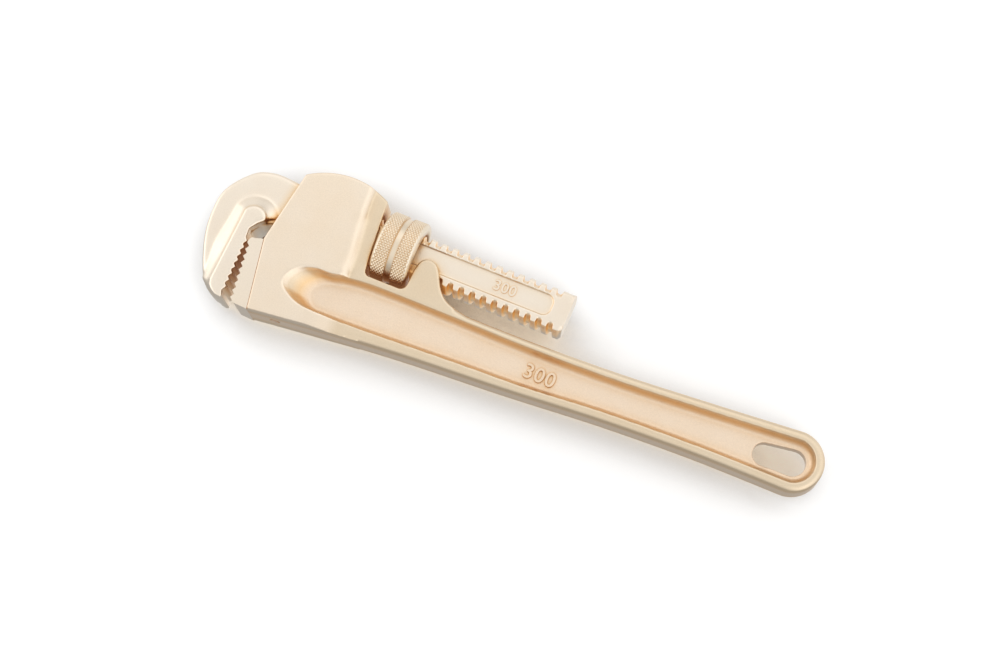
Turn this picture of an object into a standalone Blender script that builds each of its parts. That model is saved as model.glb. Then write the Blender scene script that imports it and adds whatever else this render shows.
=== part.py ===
"""Adjustable pipe wrench with a cast handle, jaws nearly closed, lying on its side.

X runs along the adjusting screw from the jaws to the handle's tail, +Y points to the back of
the hook jaw, and Z is the thickness, with the head's lower flat at Z = 0. Lengths below are in
millimetres and become metres when a piece is finished.
"""

import math

import bmesh
import bpy
from mathutils import Matrix

MM = 0.001

# ---- thickness levels, each a half thickness about the wrench's mid-plane
MID = 10.25
HEAD_HALF = 10.25
HANDLE_HALF = 8.0
WEB_HALF = 2.8
SHANK_HALF = 6.0
SLOT_HALF = 6.4
PANEL_HALF = 5.0
GAP = 0.35

# ---- adjusting screw and nut
PITCH = 5.0
CREST_R = 10.0
ROOT_R = 8.1
CREST_W = 2.1
BASE_W = 3.1
THREAD_PHASE_X = 45.5
THREAD_FROM = 14.0
SHANK_END = 110.4
NUT_FROM = 25.05
NUT_WIDTH = 16.7
NUT_R = 15.2
NUT_BORE_R = 10.5
NUT_CREST_R = 8.6
NUT_GROOVE_W = 2.5
NUT_GROOVE_D = 0.9

# ---- jaws
TOOTH_PITCH = 3.05
HOOK_TIP_X = -26.15
HOOK_VALLEY_X = -27.4
HOOK_TEETH = 8
HEEL_TIP_X = -25.7
HEEL_LEAN = 0.13
HEEL_TOOTH_DEPTH = 1.2
HEEL_TEETH = 8
BAR_LEFT_TOP = (-33.0, -10.7)
BAR_LEFT_LOW = (-34.3, -43.2)
BAR_END_Y = -48.9
KNOB = (-28.2, -11.9, 5.3)

# ---- handle
TAIL = (218.3, -22.3, 12.9)
HANG_LEFT = (206.4, -23.4, 4.8)
HANG_RIGHT = (218.3, -22.4, 5.6)
EDGE_R = 2.6

for thing in list(bpy.data.objects):
    bpy.data.objects.remove(thing, do_unlink=True)


# ------------------------------------------------------------------ plane curves
def curve(points, steps=4):
    """Points of a smooth open curve through the given ones."""
    ends = [points[0]] + list(points) + [points[-1]]
    out = []
    for a, b, c, d in zip(ends, ends[1:], ends[2:], ends[3:]):
        for k in range(steps):
            t = k / steps
            out.append(
                tuple(
                    0.5
                    * (
                        2 * b[i]
                        + (c[i] - a[i]) * t
                        + (2 * a[i] - 5 * b[i] + 4 * c[i] - d[i]) * t * t
                        + (3 * b[i] - a[i] - 3 * c[i] + d[i]) * t**3
                    )
                    for i in (0, 1)
                )
            )
    return out + [tuple(points[-1])]


def arc(cx, cy, r, start, end, steps):
    """Points of an arc between two angles in degrees, both ends included."""
    angles = [math.radians(start + (end - start) * k / steps) for k in range(steps + 1)]
    return [(cx + r * math.cos(a), cy + r * math.sin(a)) for a in angles]


def corners(points, steps=4):
    """A closed outline from (x, y, radius) corners."""
    out = []
    for k, (x, y, r) in enumerate(points):
        if r <= 0:
            out.append((x, y))
            continue
        px, py = points[k - 1][:2]
        nx, ny = points[(k + 1) % len(points)][:2]
        a = math.atan2(py - y, px - x)
        b = math.atan2(ny - y, nx - x)
        half = abs((b - a + math.pi) % (2 * math.pi) - math.pi) / 2
        reach = r / math.tan(half)
        p = (x + reach * math.cos(a), y + reach * math.sin(a))
        q = (x + reach * math.cos(b), y + reach * math.sin(b))
        away = r / math.sin(half)
        mid = ((p[0] + q[0]) / 2 - x, (p[1] + q[1]) / 2 - y)
        size = math.hypot(*mid)
        cx, cy = x + mid[0] / size * away, y + mid[1] / size * away
        s = math.atan2(p[1] - cy, p[0] - cx)
        e = math.atan2(q[1] - cy, q[0] - cx)
        turn = (e - s + math.pi) % (2 * math.pi) - math.pi
        for j in range(steps + 1):
            t = s + turn * j / steps
            out.append((cx + r * math.cos(t), cy + r * math.sin(t)))
    return out


def inset(outline, width):
    """The outline moved inwards, by one width or one width per point; it runs anticlockwise."""
    widths = [width] * len(outline) if isinstance(width, (int, float)) else width
    out = []
    count = len(outline)
    for k, (x, y) in enumerate(outline):
        ax, ay = outline[k - 1]
        bx, by = outline[(k + 1) % count]
        ux, uy = x - ax, y - ay
        vx, vy = bx - x, by - y
        ul, vl = math.hypot(ux, uy) or 1, math.hypot(vx, vy) or 1
        mx, my = -(uy / ul + vy / vl), ux / ul + vx / vl
        size = math.hypot(mx, my) or 1
        mx, my = mx / size, my / size
        grow = max(0.5, mx * -uy / ul + my * ux / ul)
        out.append((x + mx * widths[k] / grow, y + my * widths[k] / grow))
    return out


# ------------------------------------------------------------------ solids
def solid(name, rings, caps=True):
    """A closed mesh from rings of (x, y, z) that share a count, first and last ones capped."""
    mesh = bpy.data.meshes.new(name)
    made = bmesh.new()
    rows = [[made.verts.new(point) for point in ring] for ring in rings]
    count = len(rows[0])
    pairs = list(zip(rows, rows[1:])) if caps else list(zip(rows, rows[1:] + rows[:1]))
    for low, high in pairs:
        for k in range(count):
            j = (k + 1) % count
            made.faces.new((low[k], low[j], high[j], high[k]))
    if caps:
        made.faces.new(list(reversed(rows[0])))
        made.faces.new(rows[-1])
    made.normal_update()
    bmesh.ops.triangulate(made, faces=made.faces[:], ngon_method="EAR_CLIP")
    if made.calc_volume(signed=True) < 0:
        bmesh.ops.reverse_faces(made, faces=made.faces[:])
    made.to_mesh(mesh)
    made.free()
    thing = bpy.data.objects.new(name, mesh)
    bpy.context.scene.collection.objects.link(thing)
    return thing


def block(name, outline, half, edge_w=0.0, edge_d=None, steps=1, low=None):
    """A plate about the mid-plane whose edges round off over edge_w across and edge_d deep."""
    if not edge_w:
        return solid(name, [[(x, y, MID + s * half) for x, y in outline] for s in (-1, 1)])
    deep = edge_w if edge_d is None else edge_d
    top = inset(outline, edge_w) if low is None else low
    levels = []
    for k in range(steps + 1):
        t = math.pi / 2 * k / steps
        share = 1 - math.cos(t)
        z = half - deep + deep * math.sin(t)
        ring = [
            (x + (tx - x) * share, y + (ty - y) * share)
            for (x, y), (tx, ty) in zip(outline, top)
        ]
        levels.append((ring, z))
    rings = [[(x, y, MID - z) for x, y in ring] for ring, z in reversed(levels)]
    rings += [[(x, y, MID + z) for x, y in ring] for ring, z in levels]
    return solid(name, rings)


def between(name, outline, z_from, z_to):
    return solid(name, [[(x, y, z) for x, y in outline] for z in (z_from, z_to)])


def rod(name, r, start, end, axis, centre, steps=24, ease=0.0):
    """A round bar along one axis, its ends eased by a small chamfer."""
    rings = []
    spots = [(start, r - ease), (start + ease, r), (end - ease, r), (end, r - ease)]
    if not ease:
        spots = [(start, r), (end, r)]
    for along, radius in spots:
        ring = []
        for k in range(steps):
            a = 2 * math.pi * k / steps
            u, v = radius * math.cos(a), radius * math.sin(a)
            if axis == "X":
                ring.append((along, centre[0] + u, centre[1] + v))
            elif axis == "Y":
                ring.append((centre[0] + u, along, centre[1] - v))
            else:
                ring.append((centre[0] + u, centre[1] + v, along))
        rings.append(ring)
    return solid(name, rings)


def combine(thing, tool, operation):
    """Applies one Boolean and drops the tool."""
    step = thing.modifiers.new("step", "BOOLEAN")
    step.operation = operation
    step.solver = "EXACT"
    step.object = tool
    graph = bpy.context.evaluated_depsgraph_get()
    made = bpy.data.meshes.new_from_object(thing.evaluated_get(graph))
    thing.modifiers.clear()
    thing.data = made
    bpy.data.objects.remove(tool, do_unlink=True)
    return thing


def join(thing, tool):
    return combine(thing, tool, "UNION")


def cut(thing, tool):
    return combine(thing, tool, "DIFFERENCE")


def helix(name, inner, outer, inner_w, outer_w, x_from, x_to, per_turn=24):
    """A right-handed ridge about the screw axis that tapers from its foot to its crest."""
    first = math.floor((x_from - THREAD_PHASE_X) / PITCH * per_turn)
    last = math.ceil((x_to - THREAD_PHASE_X) / PITCH * per_turn)
    rings = []
    for k in range(first, last + 1):
        a = 2 * math.pi * k / per_turn
        x = THREAD_PHASE_X + PITCH * k / per_turn
        section = (
            (inner, -inner_w / 2),
            (outer, -outer_w / 2),
            (outer, outer_w / 2),
            (inner, inner_w / 2),
        )
        rings.append(
            [(x + w, r * math.cos(a), MID + r * math.sin(a)) for r, w in section]
        )
    return solid(name, rings)


def paint(thing, name, colour, rough, metallic=1.0):
    """Brings a finished piece to metres and gives it its material."""
    thing.data.transform(Matrix.Scale(MM, 4))
    material = bpy.data.materials.new(name)
    material.use_nodes = True
    shader = material.node_tree.nodes["Principled BSDF"]
    shader.inputs["Base Color"].default_value = (*colour, 1)
    shader.inputs["Roughness"].default_value = rough
    shader.inputs["Metallic"].default_value = metallic
    thing.data.materials.clear()
    thing.data.materials.append(material)


# ------------------------------------------------------------------ outlines
def seam(shift):
    """The face where the heel jaw meets the housing, moved along X."""
    return [(-14.75 + shift, -49.4), (-20.6 + shift, -18.7)]


def dome():
    """The housing's crown, from the window side to the front corner."""
    ax, ay, bx, by, rise = 22.3, 15.9, -15.5, 14.0, 5.4
    mx, my = (ax + bx) / 2, (ay + by) / 2
    half = math.hypot(ax - bx, ay - by) / 2
    r = (half * half + rise * rise) / (2 * rise)
    lean = math.atan2(ay - by, ax - bx)
    cx, cy = mx + (r - rise) * math.sin(lean), my - (r - rise) * math.cos(lean)
    s = math.degrees(math.atan2(ay - cy, ax - cx))
    e = math.degrees(math.atan2(by - cy, bx - cx))
    return arc(cx, cy, r, s, e, 10)


def lower_edge(steps=3):
    return curve([(-14.9, -49.3), (6.8, -46.9), (51.0, -42.8), (97.0, -40.0), (140.0, -36.8),
                  (180.0, -35.2), (TAIL[0], TAIL[1] - TAIL[2])], steps)


def upper_edge(steps=3):
    return curve([(TAIL[0], TAIL[1] + TAIL[2]), (180.0, -12.4), (140.0, -15.2), (100.0, -16.6),
                  (72.0, -16.7)], steps)


def lug_edge(steps=2):
    return curve([(72.0, -16.7), (62.5, -14.6), (57.2, -10.2), (53.4, -3.6), (50.6, -0.7),
                  (47.2, -0.2), (44.4, -2.2), (43.3, -6.0)], steps)


# ------------------------------------------------------------------ handle casting
def make_handle():
    tail = arc(TAIL[0], TAIL[1], TAIL[2], -90, 90, 14)
    outline = lower_edge()[:-1] + tail + upper_edge()[1:-1] + lug_edge()
    crown = [p for p in dome() if p[0] > 12.0]
    outline += [(41.0, -9.0), (41.0, -13.0), (24.4, -13.0)] + crown + [(8.0, 10.0), (-6.0, -20.0)]
    thing = block("handle", outline, HANDLE_HALF, EDGE_R, EDGE_R * 0.8, 3,
                  low=handle_face(outline))
    head = dome() + [(-20.6, -18.7), (-14.75, -49.35)]
    head += [p for p in lower_edge() if -14 < p[0] < 36]
    head += [(36.0, -30.0), (36.0, -18.5), (26.0, -18.5)]
    widths = [0.45 + 2.15 * min(1.0, max(0.0, (x - 2.0) / 28.0)) if y < -40.0 else 0.45
              for x, y in head]
    top = block("head", head, HEAD_HALF, 1.0, HEAD_HALF - HANDLE_HALF + 0.25, 3,
                low=inset(head, widths))
    for side in (1, -1):
        cut(top, roll(side))
    join(thing, top)
    # window for the nut, open at the back
    cut(thing, block("window", corners([(24.9, -16.6, 2.2), (43.3, -16.6, 3.0), (43.3, 30.0, 0),
                                        (19.9, 30.0, 0)]), 20.0))
    # passage for the shank: a rocking space on the heel side of the housing, a saddle at the rear
    cut(thing, block("passage", [(-34.0, -13.4), (14.0, -12.2), (30.0, -11.6), (30.0, 10.5),
                                 (-34.0, 10.5)], SLOT_HALF))
    cut(thing, block("saddle", corners([(38.0, -10.7, 0), (66.0, -10.7, 0), (66.0, 20.0, 0),
                                        (38.0, 20.0, 0)]), SLOT_HALF))
    for side in (1, -1):
        cut(thing, channel(side))
    cut(thing, block("hang", hang_outline(), 12.0))
    cut(thing, block("tongue_slot", tongue_outline(GAP, -45.0 - GAP), 4.6 + GAP))
    cut(thing, rod("pin_bore", 1.75 + 0.3, -60.0, -34.0, "Y", (-3.6, MID), 16))
    cut(thing, rod("spring_pocket", 3.6, -21.5, -8.0, "Y", (-9.0, MID), 20))
    return thing


def roll(side, steps=6):
    """A cutter that rolls the housing's face down to the handle: tight beside the window, a long
    ease along the lower flange."""
    stations = [(14.5, 26.0, 3.8, 0.0), (15.6, 9.3, 3.8, 0.0), (18.4, -9.2, 4.0, 0.0),
                (19.2, -19.0, 4.4, 0.0), (22.0, -26.0, 9.0, 0.5), (27.0, -36.0, 19.0, 1.0),
                (29.0, -60.0, 21.0, 1.0)]
    drop = HEAD_HALF - HANDLE_HALF
    most = math.radians(58)
    rings = []
    for x, y, width, ease in stations:
        ring = [(x - width - 0.6, HEAD_HALF + 0.05)]
        for k in range(1, steps + 1):
            a = most * k / steps
            s = width * math.sin(a) / math.sin(most)
            tight = drop * (1 - math.cos(a)) / (1 - math.cos(most))
            long = drop * (0.5 - 0.5 * math.cos(math.pi * s / width))
            ring.append((x - width + s, HEAD_HALF - tight * (1 - ease) - long * ease))
        ring += [(x + 0.4, HANDLE_HALF - 0.3), (70.0, HANDLE_HALF - 0.3), (70.0, HEAD_HALF + 4.0),
                 (x - width - 0.6, HEAD_HALF + 4.0)]
        rings.append([(u, y, MID + side * h) for u, h in ring])
    return solid("roll", rings)


def handle_face(outline):
    """The handle's flat face outline: eased on the outside edges, sharp where it meets the head."""
    widths = []
    for x, y in outline:
        outside = 1.0 if x > 58.0 or (y < -35.0 and x > 5.0) else 0.25
        if y < -35.0:
            outside = min(1.0, max(0.25, (x + 5.0) / 40.0))
        if 40.0 < x < 66.0 and y > -17.6:
            outside = 0.25
        widths.append(EDGE_R * outside)
    return inset(outline, widths)


def channel_edges():
    """The channel's rim, and its floor, as matching anticlockwise outlines."""
    low = curve([(11.9, -39.5), (38.0, -38.6), (79.0, -36.7), (107.0, -35.6), (140.0, -33.0),
                 (180.0, -31.5), (TAIL[0], -31.4)], 2)
    end = arc(TAIL[0], TAIL[1], 9.1, -84, 84, 8)
    high = curve([(TAIL[0], -13.2), (180.0, -16.1), (140.0, -18.7), (100.0, -19.7), (60.0, -19.4),
                  (30.0, -19.6), (16.4, -21.0)], 2)
    scoop = curve([(16.4, -21.0), (12.0, -22.0), (5.1, -22.2), (-1.2, -24.3), (-5.0, -29.0),
                   (-5.2, -33.4), (-0.5, -37.0), (5.1, -38.9), (11.9, -39.5)], 2)
    rim = low[:-1] + end + high[1:-1] + scoop[:-1]
    floor = inset(rim, 2.4)
    first = len(low) - 1 + len(end) + len(high) - 2
    landing = curve([(17.6, -23.6), (13.2, -24.4), (10.2, -25.8), (7.6, -28.0), (6.3, -31.0),
                     (6.9, -34.0), (8.6, -35.9), (10.8, -37.0), (13.2, -37.3)], 2)
    for k, p in enumerate(landing[:-1]):
        floor[first + k] = p
    return rim, floor


def channel(side, steps=3):
    """A cutter that hollows one face of the handle down to the web."""
    rim, floor = channel_edges()
    top = HEAD_HALF + 2.0
    rings = [[(x, y, top) for x, y in rim]]
    for k in range(steps + 1):
        t = k / steps
        turn = math.radians(72)
        side_share = (1 - math.cos(turn * t)) / (1 - math.cos(turn))
        side_drop = math.sin(turn * t) / math.sin(turn)
        scoop_drop = 0.62 * t + 0.38 * math.sin(math.pi / 2 * t)
        ring = []
        for (x, y), (fx, fy) in zip(rim, floor):
            ridge = HANDLE_HALF + (HEAD_HALF - HANDLE_HALF) * min(1.0, max(0.0, (20.0 - x) / 16.0))
            open_end = min(1.0, max(0.0, (11.0 - x) / 12.0))
            share = side_share + (t - side_share) * open_end
            drop = side_drop + (scoop_drop - side_drop) * open_end
            ring.append((x + (fx - x) * share, y + (fy - y) * share,
                         ridge + (WEB_HALF - ridge) * drop))
        rings.append(ring)
    rings = [[(x, y, MID + side * z) for x, y, z in ring] for ring in rings]
    return solid("channel", rings)


def hang_outline():
    left, right = HANG_LEFT, HANG_RIGHT
    return arc(*left, 92, 268, 8) + arc(*right, -92, 92, 8)


def tongue_outline(grow, low_y):
    """The heel jaw's tongue in plan, a slide that enters from the heel side."""
    return [(-22.0, low_y), (0.9 + grow, low_y), (0.9 + grow, -41.5 + grow), (-2.6, -38.0 + grow),
            (-12.0, -30.0 + grow), (-22.0, -30.0 + grow)]


# ------------------------------------------------------------------ hook jaw
def hook_teeth():
    """Tooth corners from the lowest tooth up to the throat."""
    out = [(HOOK_VALLEY_X, BAR_END_Y + 3.2)]
    first = -20.9 - TOOTH_PITCH * HOOK_TEETH
    for k in range(HOOK_TEETH):
        y = first + TOOTH_PITCH * k
        out.append((HOOK_TIP_X, y + 1.85))
        out.append((HOOK_VALLEY_X, y + TOOTH_PITCH))
    return out


def bar_outline():
    """The raised tooth bar with its round upper end."""
    kx, ky, kr = KNOB
    out = [(-32.0, -47.3), (-29.4, -48.6), (-26.9, BAR_END_Y), (-26.4, -48.0)] + hook_teeth()
    out += [(-27.7, -16.8), (-25.6, -13.7)]
    out += arc(kx, ky, kr, 8, 160, 8)
    return out + [BAR_LEFT_TOP, (-33.65, -27.0), BAR_LEFT_LOW, (-33.6, -45.6)]


def make_hook():
    back = curve([(-10.0, 9.9), (-17.0, 10.3), (-25.5, 11.0), (-31.6, 10.2), (-37.2, 7.6),
                  (-43.4, 0.8), (-46.8, -6.0), (-47.4, -14.0), (-46.4, -23.0), (-43.6, -32.0),
                  (-39.4, -41.2), (-36.0, -45.7), (-32.0, -48.2), (-28.0, -49.0)], 2)
    front = [(-27.7, -46.0), (-27.7, -30.0), (-27.7, -18.5), (-27.2, -16.6), (-25.2, -13.3),
             (-22.0, -11.1), (-18.0, -9.9), (THREAD_FROM + 1.7, -9.9)]
    outline = list(reversed(back)) + []
    outline = front + [(THREAD_FROM + 1.7, 9.9)] + back
    arch = block("hook_jaw", outline, SHANK_HALF, 1.0, 1.4, 2, low=hook_face(outline))
    bar = bar_outline()
    foot = [swell(p) for p in bar]
    rings = []
    for k in range(4):
        t = k / 3
        share = 0.5 - 0.5 * math.cos(math.pi * t)
        z = (SHANK_HALF - 0.9) + (HEAD_HALF - 0.5 - SHANK_HALF + 0.9) * t
        rings.append(([(x + (fx - x) * (1 - share), y + (fy - y) * (1 - share))
                       for (x, y), (fx, fy) in zip(bar, foot)], z))
    rings.append((inset(bar, 0.35), HEAD_HALF))
    levels = [[(x, y, MID - z) for x, y in ring] for ring, z in reversed(rings)]
    levels += [[(x, y, MID + z) for x, y in ring] for ring, z in rings]
    join(arch, solid("bar", levels))
    # threaded shank: a rod with one right-handed ridge, flattened on both sides
    core = rod("core", ROOT_R, THREAD_FROM, SHANK_END, "X", (0.0, MID), 40)
    join(core, helix("ridge", ROOT_R - 0.6, CREST_R, BASE_W + 0.3, CREST_W,
                     THREAD_FROM + 2.0, SHANK_END + 4.0))
    slab = block("slab", [(THREAD_FROM, -12.0), (SHANK_END, -12.0), (SHANK_END, 12.0),
                          (THREAD_FROM, 12.0)], SHANK_HALF)
    combine(core, slab, "INTERSECT")
    join(core, end_block())
    join(arch, core)
    for side in (1, -1):
        rim = corners([(30.0, -4.3, 0), (103.0, -4.3, 3.6), (103.0, 5.3, 3.6), (30.0, 5.3, 0)])
        floor = inset(rim, 0.35)
        levels = [(rim, SHANK_HALF + 1.0), (rim, SHANK_HALF), (floor, PANEL_HALF)]
        cut(arch, solid("panel", [[(x, y, MID + side * z) for x, y in ring] for ring, z in levels]))
    return arch


def end_block():
    """The plain end of the shank, a flat-sided round with an eased end face."""
    rings = []
    for x, shrink in ((SHANK_END - 3.6, 0.0), (SHANK_END - 1.2, 0.0), (SHANK_END, 1.2)):
        half, r = SHANK_HALF - shrink * 0.8, CREST_R - 0.15 - shrink
        side = math.asin(half / r)
        ring = []
        for base in (0.0, math.pi):
            for k in range(7):
                a = base - side + 2 * side * k / 6
                ring.append((x, r * math.cos(a), MID + r * math.sin(a)))
        rings.append(ring)
    return solid("end_block", rings)


def hook_face(outline):
    widths = [1.6 if x < -14.0 and y > -50.0 and (x < -30.0 or y > 4.0) else 0.5 for x, y in outline]
    return inset(outline, widths)


def swell(point):
    """Where the slope around the tooth bar meets the arch: wide on the left and over the knob."""
    x, y = point
    kx, ky, kr = KNOB
    if y > ky - 1.5 and x < -23.2:
        dx, dy = x - kx, y - ky
        size = math.hypot(dx, dy) or 1
        return (x + 5.0 * dx / size, y + 5.0 * dy / size)
    if x < -31.5 and y > -46.0:
        return (x - (2.2 if y < -44.5 else min(6.2, 3.4 + (y + 43.2) * 0.12)), y)
    return point


# ------------------------------------------------------------------ heel jaw, pin, nut, springs
def make_heel():
    line = []
    first = -22.75
    for k in range(HEEL_TEETH + 1):
        y = first - TOOTH_PITCH * k
        line.append((HEEL_TIP_X + HEEL_LEAN * (-25.0 - y), y))
        if k < HEEL_TEETH:
            line.append((HEEL_TIP_X + HEEL_LEAN * (-25.0 - y + 1.3) + HEEL_TOOTH_DEPTH, y - 1.3))
    bottom, top = seam(-GAP)
    outline = [(-25.2, -20.6), (-24.6, -20.0)] + [line[0]]
    outline = [(top[0] - 0.1, top[1] - 0.1), (-24.8, -19.9), (-25.7, -21.2)] + line
    outline += [(-20.5, -49.0), (bottom[0] - 0.1, bottom[1] + 0.1)]
    jaw = block("heel_jaw", outline, HEAD_HALF, 0.35, 0.35, 1)
    tongue = tongue_outline(0.0, -45.0)
    join(jaw, block("tongue", tongue, 4.6))
    cut(jaw, rod("bore", 1.75 + 0.3, -60.0, -30.0, "Y", (-3.6, MID), 16))
    return jaw


def make_nut():
    end = NUT_FROM + NUT_WIDTH
    mid = (NUT_FROM + end) / 2
    g = NUT_GROOVE_W / 2
    profile = [(NUT_FROM, NUT_BORE_R + 0.5), (NUT_FROM, NUT_R - 1.2), (NUT_FROM + 0.35, NUT_R - 0.45),
               (NUT_FROM + 1.1, NUT_R), (mid - g - 0.3, NUT_R), (mid - g, NUT_R - NUT_GROOVE_D),
               (mid + g, NUT_R - NUT_GROOVE_D), (mid + g + 0.3, NUT_R), (end - 1.1, NUT_R),
               (end - 0.35, NUT_R - 0.45), (end, NUT_R - 1.2), (end, NUT_BORE_R + 0.5),
               (end - 0.5, NUT_BORE_R), (NUT_FROM + 0.5, NUT_BORE_R)]
    rings = []
    for x, r in profile:
        rings.append([(x, r * math.cos(2 * math.pi * k / 48), MID + r * math.sin(2 * math.pi * k / 48))
                      for k in range(48)])
    nut = solid("adjusting_nut", rings, caps=False)
    slack = 0.42
    sunk = NUT_BORE_R + 1.3
    slope = (BASE_W - CREST_W) / (CREST_R - ROOT_R)
    foot = PITCH - CREST_W + (sunk - CREST_R) * slope - 2 * slack
    crest = foot - (sunk - NUT_CREST_R) * slope
    ridge = helix_in(sunk, NUT_CREST_R, foot, crest)
    limits = rod("limits", NUT_R - 1.7, NUT_FROM + 0.73, end - 0.83, "X", (0.0, MID), 36)
    combine(ridge, limits, "INTERSECT")
    join(nut, ridge)
    return nut


def helix_in(outer, inner, outer_w, inner_w, per_turn=28):
    """The nut's ridge, half a pitch from the shank's."""
    first = math.floor((NUT_FROM - 2.0 - THREAD_PHASE_X) / PITCH * per_turn)
    last = math.ceil((NUT_FROM + NUT_WIDTH + 2.0 - THREAD_PHASE_X) / PITCH * per_turn)
    rings = []
    for k in range(first, last + 1):
        a = 2 * math.pi * k / per_turn
        x = THREAD_PHASE_X + PITCH * (k / per_turn + 0.5)
        rings.append([(x + w, r * math.cos(a), MID + r * math.sin(a))
                      for r, w in ((inner, -inner_w / 2), (inner, inner_w / 2),
                                   (outer, outer_w / 2), (outer, -outer_w / 2))])
    return solid("nut_ridge", rings)


def make_flat_spring():
    """A leaf under the shank, its rear end curled away from the threads."""
    line = [(-14.0, -10.9), (-9.0, -10.75), (2.0, -10.75), (12.0, -10.75), (17.0, -10.9), (20.0, -11.0)]
    upper = [(x, y + 0.3) for x, y in line]
    lower = [(x, y - 0.3) for x, y in line]
    return block("flat_spring", lower + list(reversed(upper)), 4.2)


def make_rivet():
    """A round-headed rivet that ties the coil spring to the leaf's lower side."""
    return rod("spring_rivet", 1.1, -14.2, -11.4, "Y", (-9.0, MID), 16, 0.2)


def make_coil():
    """A compression spring in the pocket under the leaf."""
    turns, per_turn, wire, mean = 4.0, 18, 0.5, 2.5
    low, high = -20.8, -12.0
    rings = []
    count = int(turns * per_turn)
    for k in range(count + 1):
        a = 2 * math.pi * k / per_turn
        y = low + (high - low) * k / count
        ring = []
        for j in range(6):
            b = 2 * math.pi * j / 6
            r = mean + wire * math.cos(b)
            ring.append((-9.0 + r * math.cos(a), y + wire * math.sin(b), MID + r * math.sin(a)))
        rings.append(ring)
    return solid("coil_spring", rings)


BRONZE = (0.83, 0.66, 0.47)
handle = make_handle()
paint(handle, "cast_bronze_handle", BRONZE, 0.42)
hook = make_hook()
paint(hook, "cast_bronze_hook", (0.84, 0.68, 0.50), 0.4)
heel = make_heel()
paint(heel, "machined_bronze_heel", (0.85, 0.69, 0.50), 0.36)
pin = rod("heel_jaw_pin", 1.75, -48.0, -38.4, "Y", (-3.6, MID), 16, 0.3)
paint(pin, "bronze_pin", (0.72, 0.50, 0.32), 0.35)
nut = make_nut()
paint(nut, "knurled_bronze_nut", (0.80, 0.62, 0.42), 0.38)
leaf = make_flat_spring()
paint(leaf, "spring_bronze_leaf", (0.70, 0.52, 0.33), 0.3)
rivet = make_rivet()
paint(rivet, "spring_rivet_bronze", (0.70, 0.52, 0.33), 0.35)
coil = make_coil()
paint(coil, "spring_bronze_coil", (0.68, 0.50, 0.32), 0.3)
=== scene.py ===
"""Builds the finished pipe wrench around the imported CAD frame: detailed castings, knurled nut,
procedural bronze, studio light and camera. Shape code works in millimetres."""

import math

import bmesh
import bpy
from mathutils import Matrix, Vector


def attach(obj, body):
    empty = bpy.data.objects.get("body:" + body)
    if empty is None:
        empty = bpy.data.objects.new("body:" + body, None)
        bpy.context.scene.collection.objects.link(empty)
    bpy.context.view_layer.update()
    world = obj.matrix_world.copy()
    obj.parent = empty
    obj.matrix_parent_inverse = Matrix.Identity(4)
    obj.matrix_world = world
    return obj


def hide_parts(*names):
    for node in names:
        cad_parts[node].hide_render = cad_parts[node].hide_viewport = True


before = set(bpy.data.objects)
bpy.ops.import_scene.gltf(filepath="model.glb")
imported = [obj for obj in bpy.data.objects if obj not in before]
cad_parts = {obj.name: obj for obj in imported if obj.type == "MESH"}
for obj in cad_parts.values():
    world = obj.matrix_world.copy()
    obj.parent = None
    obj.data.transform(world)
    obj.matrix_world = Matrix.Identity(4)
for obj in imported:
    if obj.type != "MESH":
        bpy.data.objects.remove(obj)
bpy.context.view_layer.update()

# one millimetre in metres
MM = 0.001

# ---- the height of the mid-plane, then half thicknesses about it
MID = 10.25
HEAD_HALF = 10.25
HANDLE_HALF = 8.0
WEB_HALF = 2.8
SHANK_HALF = 6.0
SLOT_HALF = 6.4
PANEL_HALF = 5.0
TONGUE_HALF = 4.6
# cutters that pass right through
WINDOW_CUT_HALF = 20.0
HANG_CUT_HALF = 12.0

# ---- the heel jaw's tongue and pin, hidden in the housing
TONGUE_GAP = 0.35
TONGUE_LOW = -45.0
PIN_R = 1.75
PIN_X = -3.6
# room round the pin, in the housing and in the heel block
PIN_HOUSING_GAP = 0.3
PIN_HEEL_GAP = 0.18

# ---- adjusting screw and nut
PITCH = 5.0
CREST_R = 10.0
ROOT_R = 8.1
CREST_W = 2.1
BASE_W = 3.1
THREAD_PHASE_X = 45.5
THREAD_FROM = 14.0
SHANK_END = 110.4
NUT_FROM = 25.05
NUT_WIDTH = 16.7
NUT_R = 15.2
NUT_BORE_R = 10.5
NUT_CREST_R = 8.6
NUT_GROOVE_W = 2.5
NUT_GROOVE_D = 0.9

# ---- jaws
TOOTH_PITCH = 3.05
HOOK_TIP_X = -26.15
HOOK_VALLEY_X = -27.4
HOOK_TEETH = 8
HOOK_TEETH_TOP = -20.9
HOOK_TOOTH_RISE = 1.85
HEEL_TIP_X = -25.7
HEEL_LEAN = 0.13
HEEL_TOOTH_DEPTH = 1.2
HEEL_TEETH = 8
HEEL_TEETH_TOP = -22.75
HEEL_LEAN_FROM = -25.0
HEEL_TOOTH_RUN = 1.3
# how far the heel block reaches past the line where it meets the housing
SEAM_OVERLAP = 0.5
BAR_LEFT_TOP = (-33.0, -10.7)
BAR_LEFT_LOW = (-34.3, -43.2)
BAR_END_Y = -48.9
KNOB = (-28.2, -11.9, 5.3)
# width of the slope round the tooth bar: over the knob, at most beside the bar, at the bar's foot
SLOPE_OVER = 5.8
SLOPE_BESIDE = 8.8
SLOPE_FOOT = 2.2

# ---- handle
TAIL = (218.3, -22.3, 12.9)
HANG_LEFT = (206.4, -23.4, 4.8)
HANG_RIGHT = (218.3, -22.4, 5.6)
EDGE_R = 2.6
# ends of the housing's crown, on the window side and at the front, and its rise between them
CROWN_REAR = (22.3, 15.9)
CROWN_FRONT = (-15.5, 14.0)
CROWN_RISE = 5.4
# width of the eased edge round the head's flat face, and what it grows by along the lower flange
HEAD_EDGE = 0.45
HEAD_EDGE_GROWTH = 2.15
# degrees that the housing's roll and the channel's walls turn through
ROLL_TURN = 58
WALL_TURN = 72

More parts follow.
